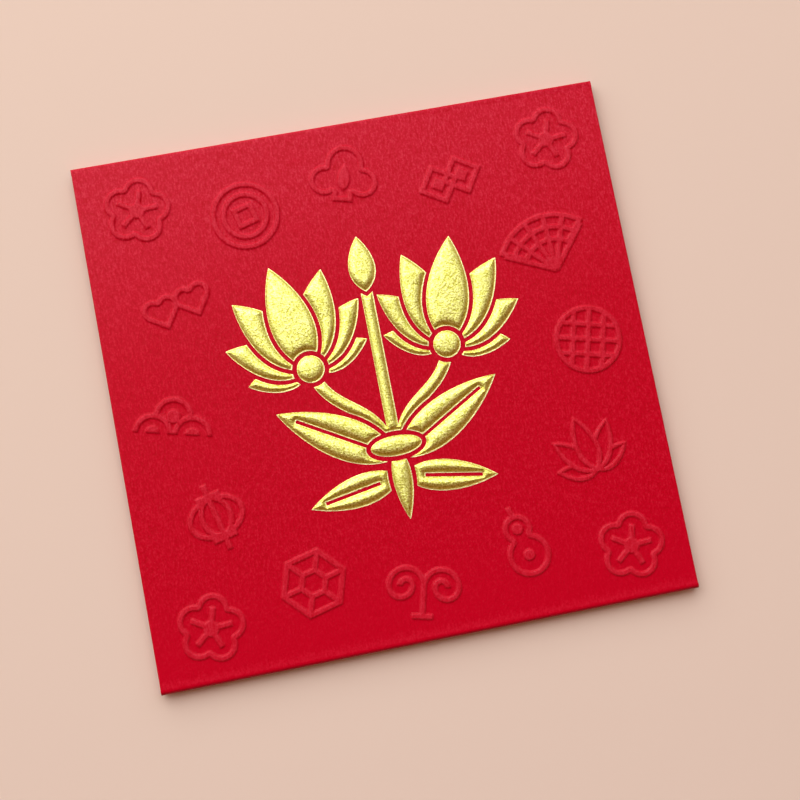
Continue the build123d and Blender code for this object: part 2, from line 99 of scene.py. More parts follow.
camera_data = bpy.data.cameras.new("photo_camera")
camera_data.lens = LENS
camera_data.sensor_width = SENSOR
camera_data.clip_start = SEEN_FROM
camera_data.clip_end = SEEN_TO
camera = bpy.data.objects.new("photo_camera", camera_data)
bpy.context.scene.collection.objects.link(camera)
ahead = (AIM - EYE).normalized()
across = ahead.cross(CAMERA_UP).normalized()
upward = across.cross(ahead)
camera.matrix_world = Matrix.Translation(EYE) @ Matrix((across, upward, -ahead)).transposed().to_4x4()
bpy.context.scene.camera = camera
bpy.context.scene.view_settings.view_transform = "Standard"
print("camera:", round((AIM - EYE).length / MM, 1), "mm from the card")

# %% [markdown]
# Materials are small node trees. Writing each node on four or five lines hides what the tree does, so one
# helper makes a node, sets its options and feeds its inputs: a socket is linked, anything else becomes
# the input's value. The other helpers are the few steps that every finish below repeats.

# %% Helpers for node trees
def node(tree, kind, inputs=None, **options):
    """A new shader node. Inputs are values or the sockets that feed them."""
    made = tree.nodes.new("ShaderNode" + kind)
    for name, value in options.items():
        setattr(made, name, value)
    for name, value in (inputs or {}).items():
        if isinstance(value, bpy.types.NodeSocket):
            tree.links.new(value, made.inputs[name])
        else:
            made.inputs[name].default_value = value
    return made


def new_finish(name):
    """A material with its node tree, its main shader and its Object coordinates."""
    finish = bpy.data.materials.new(name)
    finish.use_nodes = True
    tree = finish.node_tree
    return finish, tree, tree.nodes["Principled BSDF"], node(tree, "TexCoord").outputs["Object"]


def grain(tree, coordinates, size, detail, roughness=0.5):
    """Cloudy noise whose grain has that size along x, y and z, in millimetres."""
    steps = tuple(1 / (length * MM) for length in size)
    counted = node(tree, "Mapping", {"Vector": coordinates, "Scale": steps}).outputs["Vector"]
    inputs = {"Vector": counted, "Scale": 1.0, "Detail": detail, "Roughness": roughness}
    return node(tree, "TexNoise", inputs).outputs["Fac"]


def times(tree, first, second):
    """One value times another."""
    return node(tree, "Math", {0: first, 1: second}, operation="MULTIPLY").outputs[0]


def weigh(tree, *parts):
    """The sum of (socket, weight) pairs."""
    total = None
    for socket, weight in parts:
        share = times(tree, socket, weight)
        total = share if total is None else node(tree, "Math", {0: total, 1: share}).outputs[0]
    return total


def rescale(tree, value, low, high, to_low=0.0, to_high=1.0, smooth=False):
    """A value mapped from one range to another and kept inside it."""
    inputs = {"Value": value, "From Min": low, "From Max": high, "To Min": to_low, "To Max": to_high}
    options = {"interpolation_type": "SMOOTHSTEP"} if smooth else {}
    return node(tree, "MapRange", inputs, **options).outputs["Result"]


def tones(tree, factor, *stops):
    """A colour ramp from (position, red, green, blue) stops."""
    ramp = node(tree, "ValToRGB", {"Fac": factor})
    elements = ramp.color_ramp.elements
    while len(elements) < len(stops):
        elements.new(0.5)
    for element, (position, *colour) in zip(elements, stops):
        element.position = position
        element.color = (*colour, 1.0)
    return ramp.outputs["Color"]


def mixed(tree, share, first, second):
    """The first colour where the share is 0, turning into the second where it is 1."""
    return node(tree, "Mix", {0: share, 6: first, 7: second}, data_type="RGBA").outputs[2]


def roughen(tree, shader, height, strength, lift):
    """Shades the surface as if a pattern lifted it by up to that much."""
    bump = node(tree, "Bump", {"Strength": strength, "Distance": lift, "Height": height})
    tree.links.new(bump.outputs["Normal"], shader.inputs["Normal"])


print("node helpers ready")

# %% [markdown]
# The light is a plain soft studio: a bright half sky behind the envelope's upper edge, falling to dim at
# its lower edge, and one soft lamp from the upper left. The sky could be an even grey, but polished foil
# and satin card only look like themselves when one side of the room is brighter than the other. The
# levels are set so that a colour renders about as it is written.

# %% World and lamp
BRIGHT_SIDE = Vector((-0.14, 0.97, 0.17)).normalized()
SKY_TURN = (0.10, 0.46)
SKY_DIM = (0.27, 0.110, 0.040, 1.0)
SKY_BRIGHT = (1.22, 1.24, 1.46, 1.0)
LAMP_PLACE = Vector((-0.18, 0.50, 0.47))
LAMP_SIDE = 0.85
LAMP_POWER = 4.2

world = bpy.data.worlds.new("soft_studio")
bpy.context.scene.world = world
world.use_nodes = True
sky = world.node_tree
heading = node(sky, "TexCoord").outputs["Generated"]
facing = node(sky, "VectorMath", {0: heading, 1: BRIGHT_SIDE}, operation="DOT_PRODUCT").outputs["Value"]
glow = mixed(sky, rescale(sky, facing, *SKY_TURN, smooth=True), SKY_DIM, SKY_BRIGHT)
sky.links.new(glow, sky.nodes["Background"].inputs["Color"])

lamp_data = bpy.data.lights.new("soft_lamp", "AREA")
lamp_data.size = LAMP_SIDE
lamp_data.energy = LAMP_POWER
lamp = bpy.data.objects.new("soft_lamp", lamp_data)
bpy.context.scene.collection.objects.link(lamp)
lamp.location = LAMP_PLACE
lamp.rotation_euler = LAMP_PLACE.to_track_quat("Z", "Y").to_euler()
print("sky from", SKY_DIM[0], "to", SKY_BRIGHT[0], "and a lamp", round(LAMP_PLACE.length, 2), "m away")

# %% [markdown]
# The floor is a pale warm sheet whose far rim rolls up into a low wall, as a paper sweep does in a
# studio. A plain square would show its edge and the sky behind it from low angles. One profile line, spun
# round the middle, gives floor, curve and wall in a single smooth piece.

# %% Shape of the floor
FLOOR_REACH = 2.2
FLOOR_CURVE = 0.3
FLOOR_WALL = 0.55
FLOOR_GAP = 0.03 * MM
FLOOR_TURNS = 96
CURVE_STEPS = 10

profile = [Vector((0.0, 0.0, 0.0)), Vector((FLOOR_REACH, 0.0, 0.0))]
for step in range(1, CURVE_STEPS + 1):
    turn = math.pi / 2 * step / CURVE_STEPS
    outward = FLOOR_REACH + FLOOR_CURVE * math.sin(turn)
    profile.append(Vector((outward, 0.0, FLOOR_CURVE * (1 - math.cos(turn)))))
profile.append(profile[-1] + Vector((0.0, 0.0, FLOOR_WALL - FLOOR_CURVE)))

floor_mesh = bmesh.new()
spokes = [floor_mesh.verts.new(point - Vector((0.0, 0.0, FLOOR_GAP))) for point in profile]
spoke_edges = [floor_mesh.edges.new(pair) for pair in zip(spokes, spokes[1:])]
bmesh.ops.spin(floor_mesh, geom=spokes + spoke_edges, cent=(0, 0, 0), axis=(0, 0, 1), angle=math.tau,
               steps=FLOOR_TURNS, use_merge=True)
bmesh.ops.remove_doubles(floor_mesh, verts=floor_mesh.verts, dist=MM)
bmesh.ops.recalc_face_normals(floor_mesh, faces=floor_mesh.faces)
if sum(face.normal.z for face in floor_mesh.faces) < 0:
    bmesh.ops.reverse_faces(floor_mesh, faces=floor_mesh.faces)

floor_data = bpy.data.meshes.new("floor")
floor_mesh.to_mesh(floor_data)
floor_mesh.free()
floor_data.shade_smooth()
floor = bpy.data.objects.new("floor", floor_data)
bpy.context.scene.collection.objects.link(floor)
floor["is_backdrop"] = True
print("floor:", len(floor_data.polygons), "faces")

# %% [markdown]
# The floor's wall would be dark on the side that turns away from the light, so far from the envelope the
# sweep fades into one pale even tone. Only the eye and mirrored rays meet that tone: the sweep sheds no
# light of its own.

# %% Finish of the floor
FLOOR_COLOUR = (0.765, 0.605, 0.470, 1.0)
FLOOR_ROUGHNESS = 0.85
FLOOR_GLOSS = 0.1
FADE_REACH = (0.30, 0.95)
BACKDROP = (0.79, 0.60, 0.47, 1.0)
LOOKING_RAYS = ("Is Camera Ray", "Is Glossy Ray", "Is Transmission Ray")

floor_finish, tree, shader, place = new_finish("pale_floor")
shader.inputs["Base Color"].default_value = FLOOR_COLOUR
shader.inputs["Roughness"].default_value = FLOOR_ROUGHNESS
shader.inputs["Specular IOR Level"].default_value = FLOOR_GLOSS
rays = node(tree, "LightPath").outputs
looked_at = weigh(tree, *((rays[kind], 1.0) for kind in LOOKING_RAYS))
away = node(tree, "VectorMath", {0: place}, operation="LENGTH").outputs["Value"]
faded = times(tree, looked_at, rescale(tree, away, *FADE_REACH, smooth=True))
backdrop = node(tree, "Emission", {"Color": BACKDROP}).outputs[0]
sweep = node(tree, "MixShader", {0: faded, 1: shader.outputs[0], 2: backdrop}).outputs[0]
tree.links.new(sweep, tree.nodes["Material Output"].inputs["Surface"])
floor_data.materials.append(floor_finish)
print("floor finish:", floor_finish.name, "fades from", FADE_REACH[0], "to", FADE_REACH[1], "m")

# %% [markdown]
# Red card is paper dyed through and calendered to a satin face. Seen close, its fibres run one way, up
# the envelope, as short soft flecks, and between them the red is a little mottled. A flat red would look
# like plastic. Here one stretched noise gives the fibres, a rounder one the mottling and a fine one the
# tooth of the paper. Their sum picks between three reds, and further on it also lifts the surface a
# little, which breaks up the sheen.

# %% The pattern of the card
FIBRE_SIZE = (0.32, 1.3, 0.45)
MOTTLE_SIZE = (0.7, 1.0, 1.0)
TOOTH_SIZE = (0.27, 0.34, 0.30)
FIBRE_SHARE = 0.45
MOTTLE_SHARE = 0.1
TOOTH_SHARE = 0.45
RED_POSITIONS = (0.38, 0.51, 0.62)


def card_pattern(tree, place):
    """Fibres, mottling and tooth as one value about a half."""
    fibres = grain(tree, place, FIBRE_SIZE, detail=3.0, roughness=0.6)
    mottling = grain(tree, place, MOTTLE_SIZE, detail=3.0)
    tooth = grain(tree, place, TOOTH_SIZE, detail=2.0)
    return weigh(tree, (fibres, FIBRE_SHARE), (mottling, MOTTLE_SHARE), (tooth, TOOTH_SHARE))


def patterned(tree, pattern, reds):
    """Three reds, from deep to light, picked by the pattern."""
    return tones(tree, pattern, *((position, *red) for position, red in zip(RED_POSITIONS, reds)))


print("card pattern: fibres", FIBRE_SIZE[1], "mm long and", FIBRE_SIZE[0], "mm wide")

# %% [markdown]
# The front is not the same red all over, and most of that is painted light. Towards the top the red is
# paler, a painted sheen; further down it is deeper, the shaded copy of the same card. Near the lower fold
# the pale flecks fade over one smooth red. Just above the fold a pale band of painted sheen runs along it,
# and past the fold's line the crease is painted shade. All of that follows the height on the envelope, so a
# few ramps along y are enough, and no image is needed. Where the die pushed the card up, a painted
# highlight makes the card paler: a value stored with the mesh says where, and the pattern breaks the tint
# up.

# %% Painted light on the front
panel_corner, panel_far_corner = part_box("front_panel")
FOLD_LINE = panel_corner.y
# Painted sheen: above this height range the front takes the paler outer reds, below it deeper shaded reds.
PAINTED_SHEEN_RISE = (0.004, 0.042)
SHADED_LOWER_REDS = ((0.470, 0.0, 0.0080), (0.532, 0.0001, 0.0135), (0.592, 0.0080, 0.0250))
# Painted sheen flecks fade out over this range towards the lower fold, leaving a share over one smooth red.
SHEEN_FLECKS_FADE = (-0.043, -0.022)
SMOOTH_SHADED_RED = (0.540, 0.0001, 0.0135, 1.0)
SHEEN_FLECKS_LEFT = 0.30
# A pale band of painted sheen along the lower fold.
FOLD_SHEEN_WIDTH = 2.6 * MM
FOLD_SHEEN_WEIGHT = 0.5
FOLD_SHEEN_PATTERN_WEIGHT = 1.6
FOLD_SHEEN_SHOWS = (1.0, 1.5)
FOLD_SHEEN_MOST = 0.45
FOLD_SHEEN_RED = (0.70, 0.014, 0.040, 1.0)
CREASE_NEAR = 0.30 * MM
CREASE_FAR = 0.55 * MM
# Painted shade darkens the crease past the fold's line.
CREASE_SHADE_MOST = 0.95
CREASE_SHADE_RED = (0.34, 0.0008, 0.010, 1.0)
# A painted highlight on the card that the die has raised.
RAISED_HIGHLIGHT_SPAN = (0.38, 0.62)
RAISED_HIGHLIGHT_SHARE = (0.08, 0.55)
RAISED_HIGHLIGHT_RED = (0.64, 0.030, 0.052, 1.0)


def front_with_painted_light(tree, place, pattern, colour):
    """The colour of the front: painted sheen paler towards the top, a painted sheen band above the lower
    fold, painted shade past it and a painted highlight where the card is raised.
    """
    height = node(tree, "SeparateXYZ", {"Vector": place}).outputs["Y"]
    # Painted sheen: higher up the front is paler, lower down it takes the shaded deeper reds.
    painted_sheen = rescale(tree, height, *PAINTED_SHEEN_RISE, smooth=True)
    colour = mixed(tree, painted_sheen, patterned(tree, pattern, SHADED_LOWER_REDS), colour)
    # Painted sheen flecks fade out towards the lower fold.
    sheen_flecks = rescale(tree, height, *SHEEN_FLECKS_FADE, SHEEN_FLECKS_LEFT, 1.0, smooth=True)
    colour = mixed(tree, sheen_flecks, SMOOTH_SHADED_RED, colour)
    # A pale band of painted sheen just above the lower fold.
    below = rescale(tree, height, FOLD_LINE, FOLD_LINE + FOLD_SHEEN_WIDTH, 1.0, 0.0, smooth=True)
    above = rescale(tree, height, FOLD_LINE - CREASE_NEAR, FOLD_LINE + CREASE_NEAR, smooth=True)
    fold_sheen = weigh(tree, (times(tree, below, above), FOLD_SHEEN_WEIGHT), (pattern, FOLD_SHEEN_PATTERN_WEIGHT))
    colour = mixed(tree, rescale(tree, fold_sheen, *FOLD_SHEEN_SHOWS, 0.0, FOLD_SHEEN_MOST), colour, FOLD_SHEEN_RED)
    # Painted shade on the crease past the fold's line.
    crease = (FOLD_LINE - CREASE_NEAR, FOLD_LINE - CREASE_FAR)
    colour = mixed(tree, rescale(tree, height, *crease, 0.0, CREASE_SHADE_MOST, smooth=True), colour, CREASE_SHADE_RED)
    # Painted highlight where the die raised the card.
    raised = node(tree, "Attribute", attribute_name="raised").outputs["Fac"]
    raised_highlight = times(tree, raised, rescale(tree, pattern, *RAISED_HIGHLIGHT_SPAN, *RAISED_HIGHLIGHT_SHARE))
    return mixed(tree, raised_highlight, colour, RAISED_HIGHLIGHT_RED)


# The band whose width is printed here is painted sheen along the lower fold.
print("wear: rubbed", round(FOLD_SHEEN_WIDTH / MM, 1), "mm above the fold at y", round(FOLD_LINE / MM, 2), "mm")

# %% [markdown]
# The same card has three finishes. The outer face is satin, with painted light and shade along the front's
# height, the inner side is dull and a little deeper, and the cut edge, where the fibres end, is the darkest
# and the dullest.

# %% Red card
NOISE_SPAN = (0.3, 0.7)
SHEEN_VARIES = 0.06
CARD_BUMP = 0.7
CARD_LIFT = 0.11 * MM
CARD_GLOSS = 0.09
OUTER_REDS = ((0.490, 0.0, 0.0080), (0.562, 0.0050, 0.0225), (0.630, 0.0240, 0.0480))
INNER_REDS = ((0.40, 0.002, 0.014), (0.47, 0.004, 0.019), (0.54, 0.008, 0.026))
CUT_REDS = ((0.26, 0.002, 0.009), (0.36, 0.004, 0.014), (0.46, 0.010, 0.024))


def red_card(name, reds, roughness, is_front=False):
    """The dyed card in three reds, smoother where it is lighter. The front also gets painted light and
    shade along its height.
    """
    finish, tree, shader, place = new_finish(name)
    pattern = card_pattern(tree, place)
    colour = patterned(tree, pattern, reds)
    if is_front:
        colour = front_with_painted_light(tree, place, pattern, colour)
    tree.links.new(colour, shader.inputs["Base Color"])
    sheen = rescale(tree, pattern, *NOISE_SPAN, roughness + SHEEN_VARIES, roughness - SHEEN_VARIES)
    tree.links.new(sheen, shader.inputs["Roughness"])
    roughen(tree, shader, pattern, CARD_BUMP, CARD_LIFT)
    shader.inputs["Specular IOR Level"].default_value = CARD_GLOSS
    return finish


outer_card = red_card("red_card_outer", OUTER_REDS, 0.20, is_front=True)
inner_card = red_card("red_card_inner", INNER_REDS, 0.75)
cut_card = red_card("red_card_cut_edge", CUT_REDS, 0.85)
card_finishes = (outer_card, inner_card, cut_card)
print("card finishes:", [finish.name for finish in card_finishes])

# %% [markdown]
# The emblem is hot-stamped foil: a thin bright metal film pressed onto the card by a hot die. The card's
# tooth shows through as a fine hammered grain, with shallow dents where the film bridges fibres. A smooth
# metal would look like cast brass, so two noises dent the surface and vary its tone, and the pale gold
# leans a little towards green, as thin stamping foils do. Two values stored with the mesh mark its steep
# flanks, which are given a deeper olive gold, and the level lip round its outline, which gets a painted
# highlight.

# %% Gold foil
SPECKLE_SIZE = (0.29, 0.29, 0.29)
DENT_SIZE = (0.8, 0.8, 0.8)
DENTED_BY = (0.75, 0.12)
TINTED_BY = (0.9, 0.1)
GOLD_TONES = ((0.38, 0.54, 0.51, 0.05), (0.5, 0.90, 0.90, 0.21), (0.60, 1.0, 1.0, 0.36))
FLANK_GOLD = (0.66, 0.60, 0.05, 1.0)
# A painted highlight on the level lip round the foil.
LIP_HIGHLIGHT_GOLD = (0.97, 0.93, 0.45, 1.0)
FOIL_ROUGHNESS = (0.30, 0.42)
FOIL_BUMP = 0.8
FOIL_LIFT = 0.14 * MM

foil, tree, shader, place = new_finish("gold_foil")
speckle = grain(tree, place, SPECKLE_SIZE, detail=2.0, roughness=0.7)
dents = grain(tree, place, DENT_SIZE, detail=2.0)
gold = tones(tree, weigh(tree, *zip((speckle, dents), TINTED_BY)), *GOLD_TONES)
for attribute, toned in (("flank", FLANK_GOLD), ("lip_highlight", LIP_HIGHLIGHT_GOLD)):
    gold = mixed(tree, node(tree, "Attribute", attribute_name=attribute).outputs["Fac"], gold, toned)
tree.links.new(gold, shader.inputs["Base Color"])
tree.links.new(rescale(tree, speckle, *NOISE_SPAN, *FOIL_ROUGHNESS), shader.inputs["Roughness"])
roughen(tree, shader, weigh(tree, *zip((speckle, dents), DENTED_BY)), FOIL_BUMP, FOIL_LIFT)
shader.inputs["Metallic"].default_value = 1.0
print("foil finish:", foil.name)

# %% [markdown]
# The small materials of the closing: clear film that carries the adhesive, the waxed paper that covers it
# until the envelope is used, and the dried glue under the side tabs. They are hidden while the flap is
# shut. Each is two close tones with a slight grain, so one function makes all three.

# %% Tape, release paper and glue
def small_finish(name, size, detail, ragged, dark, pale, roughness, bump, lift):
    """Two tones picked by one noise, which also lifts the surface a little."""
    finish, tree, shader, place = new_finish(name)
    pattern = grain(tree, place, size, detail, ragged)
    colour = tones(tree, pattern, (NOISE_SPAN[0], *dark), (NOISE_SPAN[1], *pale))
    tree.links.new(colour, shader.inputs["Base Color"])
    roughen(tree, shader, pattern, bump, lift)
    shader.inputs["Roughness"].default_value = roughness
    return finish


tape_finish = small_finish("clear_tape", size=(3.0, 0.8, 0.8), detail=2.0, ragged=0.5,
                           dark=(0.72, 0.60, 0.50), pale=(0.82, 0.72, 0.62),
                           roughness=0.3, bump=0.3, lift=0.02 * MM)
release_finish = small_finish("release_paper", size=(0.5, 0.35, 0.35), detail=4.0, ragged=0.65,
                              dark=(0.74, 0.70, 0.60), pale=(0.86, 0.83, 0.74),
                              roughness=0.42, bump=0.25, lift=0.01 * MM)
glue_finish = small_finish("dry_glue", size=(1.2, 5.0, 5.0), detail=3.0, ragged=0.5,
                           dark=(0.55, 0.36, 0.24), pale=(0.74, 0.58, 0.42),
                           roughness=0.35, bump=0.4, lift=0.02 * MM)
print("small finishes:", tape_finish.name, release_finish.name, glue_finish.name)

# %% [markdown]
# The front panel carries all the relief. In the CAD model every ornament is a small plate with upright
# walls; a real embossing die pushes damp card up between rounded shoulders. Bevelling the CAD walls could
# soften them, but the ornaments are made of narrow strokes and the bevels would run into each other. So
# the outlines are read from the CAD mesh, and a new surface is laid over them with rows of points beside
# every outline. The copy of the CAD mesh is merged first, because it arrives as loose triangles.

# %% Read the raised levels
MERGE_DISTANCE = 0.001 * MM
SAME_HEIGHT = 0.002 * MM
LEVEL = 0.99


def merged_copy(name):
    """The mesh of a CAD node as one connected bmesh."""
    mesh = bmesh.new()
    mesh.from_mesh(frame["nodes"][name].data)
    bmesh.ops.remove_doubles(mesh, verts=mesh.verts, dist=MERGE_DISTANCE)
    return mesh


def flat(point):
    """A point of the plan, in millimetres."""
    return Vector((point.x / MM, point.y / MM))


panel_copy = merged_copy("front_panel")
face_up = [face for face in panel_copy.faces if face.normal.z > LEVEL]
panel_top, motif_top, bed_top = sorted({round(face.verts[0].co.z, 6) for face in face_up})


def tops_at(height):
    """The level faces at one height."""
    return [
        face for face in face_up
        if all(abs(corner.co.z - height) < SAME_HEIGHT for corner in face.verts)
    ]


print("levels of the front:", [round(height / MM, 2) for height in (panel_top, motif_top, bed_top)], "mm")

# %% [markdown]
# An outline is walked from corner to corner along the edges that have a raised face on one side only.
# Each such edge is stored by the corner it starts from, so following the stored corners goes once round
# every outline.

# %% Walk the outlines
def outlines_of(faces):
    """Closed outlines round a set of faces, each a list of plan points with the faces on its left."""
    chosen = set(faces)
    following = {}
    for face in faces:
        for corner in face.loops:
            if sum(other in chosen for other in corner.edge.link_faces) == 1:
                following[corner.vert] = corner.link_loop_next.vert
    outlines = []
    while following:
        start, upcoming = next(iter(following.items()))
        outline = [start]
        while upcoming in following and upcoming is not start:
            outline.append(upcoming)
            upcoming = following.pop(upcoming)
        following.pop(start, None)
        outlines.append([flat(corner.co) for corner in outline])
    return outlines


print("the emblem has", len(outlines_of(tops_at(bed_top))), "outlines")

# %% [markdown]
# Two questions are asked of every new point: how far is the nearest outline, and is the point inside it?
# A fence of upright strips along the outlines answers the first, since the nearest place on a fence is
# found quickly and exactly. A ray dropped on the raised faces answers the second.

# %% Distance to an outline
FENCE_HALF = 1.0
REACH = 4.0


def fence_along(outlines):
    """Upright strips along the outlines, as tall above the plan as below it."""
    corners, strips = [], []
    for outline in outlines:
        for start, stop in zip(outline, outline[1:] + outline[:1]):
            first = len(corners)
            corners += [(*start, -FENCE_HALF), (*stop, -FENCE_HALF)]
            corners += [(*stop, FENCE_HALF), (*start, FENCE_HALF)]
            strips.append((first, first + 1, first + 2, first + 3))
    return BVHTree.FromPolygons(corners, strips)


def plan_of(faces):
    """The faces laid flat, for asking whether a point is over them."""
    corners, polygons = [], []
    for face in faces:
        first = len(corners)
        corners += [(*flat(corner.co), 0.0) for corner in face.verts]
        polygons.append(tuple(range(first, len(corners))))
    return BVHTree.FromPolygons(corners, polygons)


class RaisedArea:
    """One raised area of the panel: its outlines, its fence and its plan."""

    def __init__(self, height):
        faces = tops_at(height)
        self.outlines = outlines_of(faces)
        self.fence = fence_along(self.outlines)
        self.plan = plan_of(faces)

    def covers(self, point):
        """Whether a plan point lies inside the outlines."""
        above = (point[0], point[1], FENCE_HALF)
        return self.plan.ray_cast(above, (0.0, 0.0, -1.0), 2 * FENCE_HALF)[0] is not None

    def depth(self, point):
        """How deep a plan point lies inside the outlines, negative outside, up to the reach."""
        found = self.fence.find_nearest((point[0], point[1], 0.0), REACH)[3]
        distance = REACH if found is None else found
        return distance if self.covers(point) else -distance


ornaments = RaisedArea(motif_top)
emblem = RaisedArea(bed_top)
panel_copy.free()
print("outlines:", len(ornaments.outlines), "of ornaments,", len(emblem.outlines), "of the emblem")

# %% [markdown]
# Now the points. Along each outline they stand in rows: close together where the surface will bend,
# further apart where it is flat. Corners of an outline are kept, so that petal tips stay sharp, and each
# run between corners is divided evenly. A row point that comes too close to another part of the outline
# is left out.

# %% Rows of points beside the outlines
CORNER_TURN = math.radians(24)
ORNAMENT_STEP = 0.27
ORNAMENT_ROWS = (-0.32, -0.16, -0.08, 0.08, 0.16, 0.30)
EMBLEM_STEP = 0.30
EMBLEM_ROWS = (-0.32, 0.07, 0.14, 0.21, 0.29, 0.40, 0.57, 0.82, 1.12, 1.50)
OFFSET_KEPT = 0.8
NO_LENGTH = 1e-9


def evenly(outline, step):
    """The outline with its corners kept and its runs divided into even steps."""
    count = len(outline)
    sides = [outline[(i + 1) % count] - outline[i] for i in range(count)]
    corners = [i for i in range(count) if sides[i - 1].angle(sides[i], 0.0) > CORNER_TURN] or [0]
    stations = []
    for first, last in zip(corners, corners[1:] + [corners[0] + count]):
        run = np.array([outline[i % count] for i in range(first, last + 1)])
        along = np.concatenate([[0.0], np.cumsum(np.linalg.norm(np.diff(run, axis=0), axis=1))])
        stops = np.linspace(0.0, along[-1], max(2, round(along[-1] / step) + 1))[:-1]
        stations += list(zip(np.interp(stops, along, run[:, 0]), np.interp(stops, along, run[:, 1])))
    return np.array(stations)


def row_beside(line, offset):
    """The points of a closed line moved to its left by an offset, to its right if that is negative."""
    onward = np.roll(line, -1, axis=0) - np.roll(line, 1, axis=0)
    onward /= np.maximum(np.linalg.norm(onward, axis=1, keepdims=True), NO_LENGTH)
    return line + offset * np.column_stack([-onward[:, 1], onward[:, 0]])


points, kept_edges = [], []
for area, step, offsets in ((ornaments, ORNAMENT_STEP, ORNAMENT_ROWS), (emblem, EMBLEM_STEP, EMBLEM_ROWS)):
    for outline in area.outlines:
        line = evenly(outline, step)
        first, count = len(points), len(line)
        points += [Vector(point) for point in line]
        kept_edges += [(first + i, first + (i + 1) % count) for i in range(count)]
        for offset in offsets:
            for point in row_beside(line, offset):
                if area.depth(point) * offset > OFFSET_KEPT * offset * offset:
                    points.append(Vector(point))
row_points = len(points)
print("row points:", row_points)

# %% [markdown]
# A coarse grid covers the rest. It leaves out places where rows already stand, keeps the panel's exact
# rim, and is finer inside the emblem, where the foil is to be a little uneven.

# %% Grid points and rim
GRID_STEP = 1.2
EMBLEM_GRID_STEP = 0.62
CLEAR_OF_ROWS = 0.55
CLEAR_OF_LAST_ROW = 0.3
left, low = flat(panel_corner)
right, high = flat(panel_far_corner)


def spread(start, stop, step):
    """Even places from start to stop, ends included."""
    return np.linspace(start, stop, round((stop - start) / step) + 1)


for x in spread(left, right, GRID_STEP):
    for y in spread(low, high, GRID_STEP):
        near_ornament = abs(ornaments.depth((x, y))) < CLEAR_OF_ROWS
        near_emblem = emblem.depth((x, y)) > -CLEAR_OF_ROWS
        if not (near_ornament or near_emblem):
            points.append(Vector((x, y)))
emblem_half = max(max(abs(value) for value in point) for outline in emblem.outlines for point in outline)
for x in spread(-emblem_half, emblem_half, EMBLEM_GRID_STEP):
    for y in spread(-emblem_half, emblem_half, EMBLEM_GRID_STEP):
        if emblem.depth((x, y)) > EMBLEM_ROWS[-1] + CLEAR_OF_LAST_ROW:
            points.append(Vector((x, y)))
print("grid points:", len(points) - row_points)

# %% [markdown]
# A Delaunay triangulation joins the points into the best-shaped triangles there are, and keeps the
# outlines as edges. It only knows the plan; the heights come next.

# %% Triangulate the plan
MERGE_WITHIN = 0.05
plan_points, plan_edges, plan_faces, *_ = delaunay_2d_cdt(points, kept_edges, [], 0, MERGE_WITHIN, False)
print("plan:", len(plan_points), "points and", len(plan_faces), "triangles")

# %% [markdown]
# Heights follow from the depths. Ornaments rise through a soft S between their shoulders. The emblem's
# bed starts with a narrow level margin, turns up steeply, rounds over within a millimetre and then swells
# a little more towards the middle of each petal, like a pillow. A slow noise keeps the swelling from
# looking machined. Foil and relief are struck by two dies that never meet exactly, so the relief sits a
# trace up and left of the foil's outline and the level margin shows along the lower right edges.

# %% Heights of the relief
SHOULDER = 0.16
MARGIN = 0.14
DIE_SHIFT = Vector((-0.06, 0.07))
ROUND_WIDTH = 1.05
ROUND_SHARE = 0.80
ROUND_STEEPNESS = 2.3
ROUND_FULLNESS = 0.8
SWELL_WIDTH = 2.6
UNEVEN = 0.040
UNEVEN_GRAIN = 2.2
motif_rise = (motif_top - panel_top) / MM
bed_rise = (bed_top - panel_top) / MM


def soft_step(value):
    """From 0 to 1 along an S."""
    share = np.clip(value, 0.0, 1.0)
    return share * share * (3 - 2 * share)


def inside_relief(point):
    """How deep a plan point lies inside the foot of the emblem's relief, in millimetres."""
    return emblem.depth(Vector(point[:2]) - DIE_SHIFT) - MARGIN


ornament_depth = np.array([ornaments.depth(point) for point in plan_points])
rise = motif_rise * soft_step((ornament_depth + SHOULDER) / (2 * SHOULDER))
inward = np.array([inside_relief(point) for point in plan_points])
rounded = 1 - (1 - np.clip(inward / ROUND_WIDTH, 0.0, 1.0)) ** ROUND_STEEPNESS
dome = ROUND_SHARE * rounded ** ROUND_FULLNESS + (1 - ROUND_SHARE) * soft_step(inward / SWELL_WIDTH)
waves = np.array([noise.noise((x / UNEVEN_GRAIN, y / UNEVEN_GRAIN, 0.0)) for x, y in plan_points])
heights = rise + bed_rise * dome + UNEVEN * waves * soft_step(inward / ROUND_WIDTH)
print("relief:", round(float(heights.max()), 3), "mm at its highest")

# %% [markdown]
# Each finished mesh becomes a piece: an object at the origin with its finishes, smooth except at true
# edges, that rides on a body of the frame and hides the CAD nodes it stands for. A closed mesh has exactly
# two faces at every edge, so the edges that have not are counted and printed.

# %% Make a piece
SHARP_ANGLE = math.radians(38)


def make_piece(name, mesh, finishes, nodes, body=None):
    """A bmesh as an object of the scene. Without a body it is left unattached."""
    open_edges = sum(len(edge.link_faces) != 2 for edge in mesh.edges)
    data = bpy.data.meshes.new(name)
    mesh.to_mesh(data)
    mesh.free()
    for finish in finishes:
        data.materials.append(finish)
    data.shade_smooth()
    data.set_sharp_from_angle(angle=SHARP_ANGLE)
    piece = bpy.data.objects.new(name, data)
    bpy.context.scene.collection.objects.link(piece)
    if body:
        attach(piece, body)
    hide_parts(*nodes)
    triangles = sum(len(polygon.vertices) - 2 for polygon in data.polygons)
    print(name, "has", triangles, "triangles and", open_edges, "open edges")
    return piece


print("edges sharper than", round(math.degrees(SHARP_ANGLE)), "degrees stay crisp")

# %% [markdown]
# The panel: the triangles at their heights, a rim drawn down to the panel's inner side, and one level
# face under it. The finishes are chosen by where a face looks: up is the outer face, down the inner side,
# sideways the cut.

# %% Embossed front panel
LOOKS_UP = 0.3


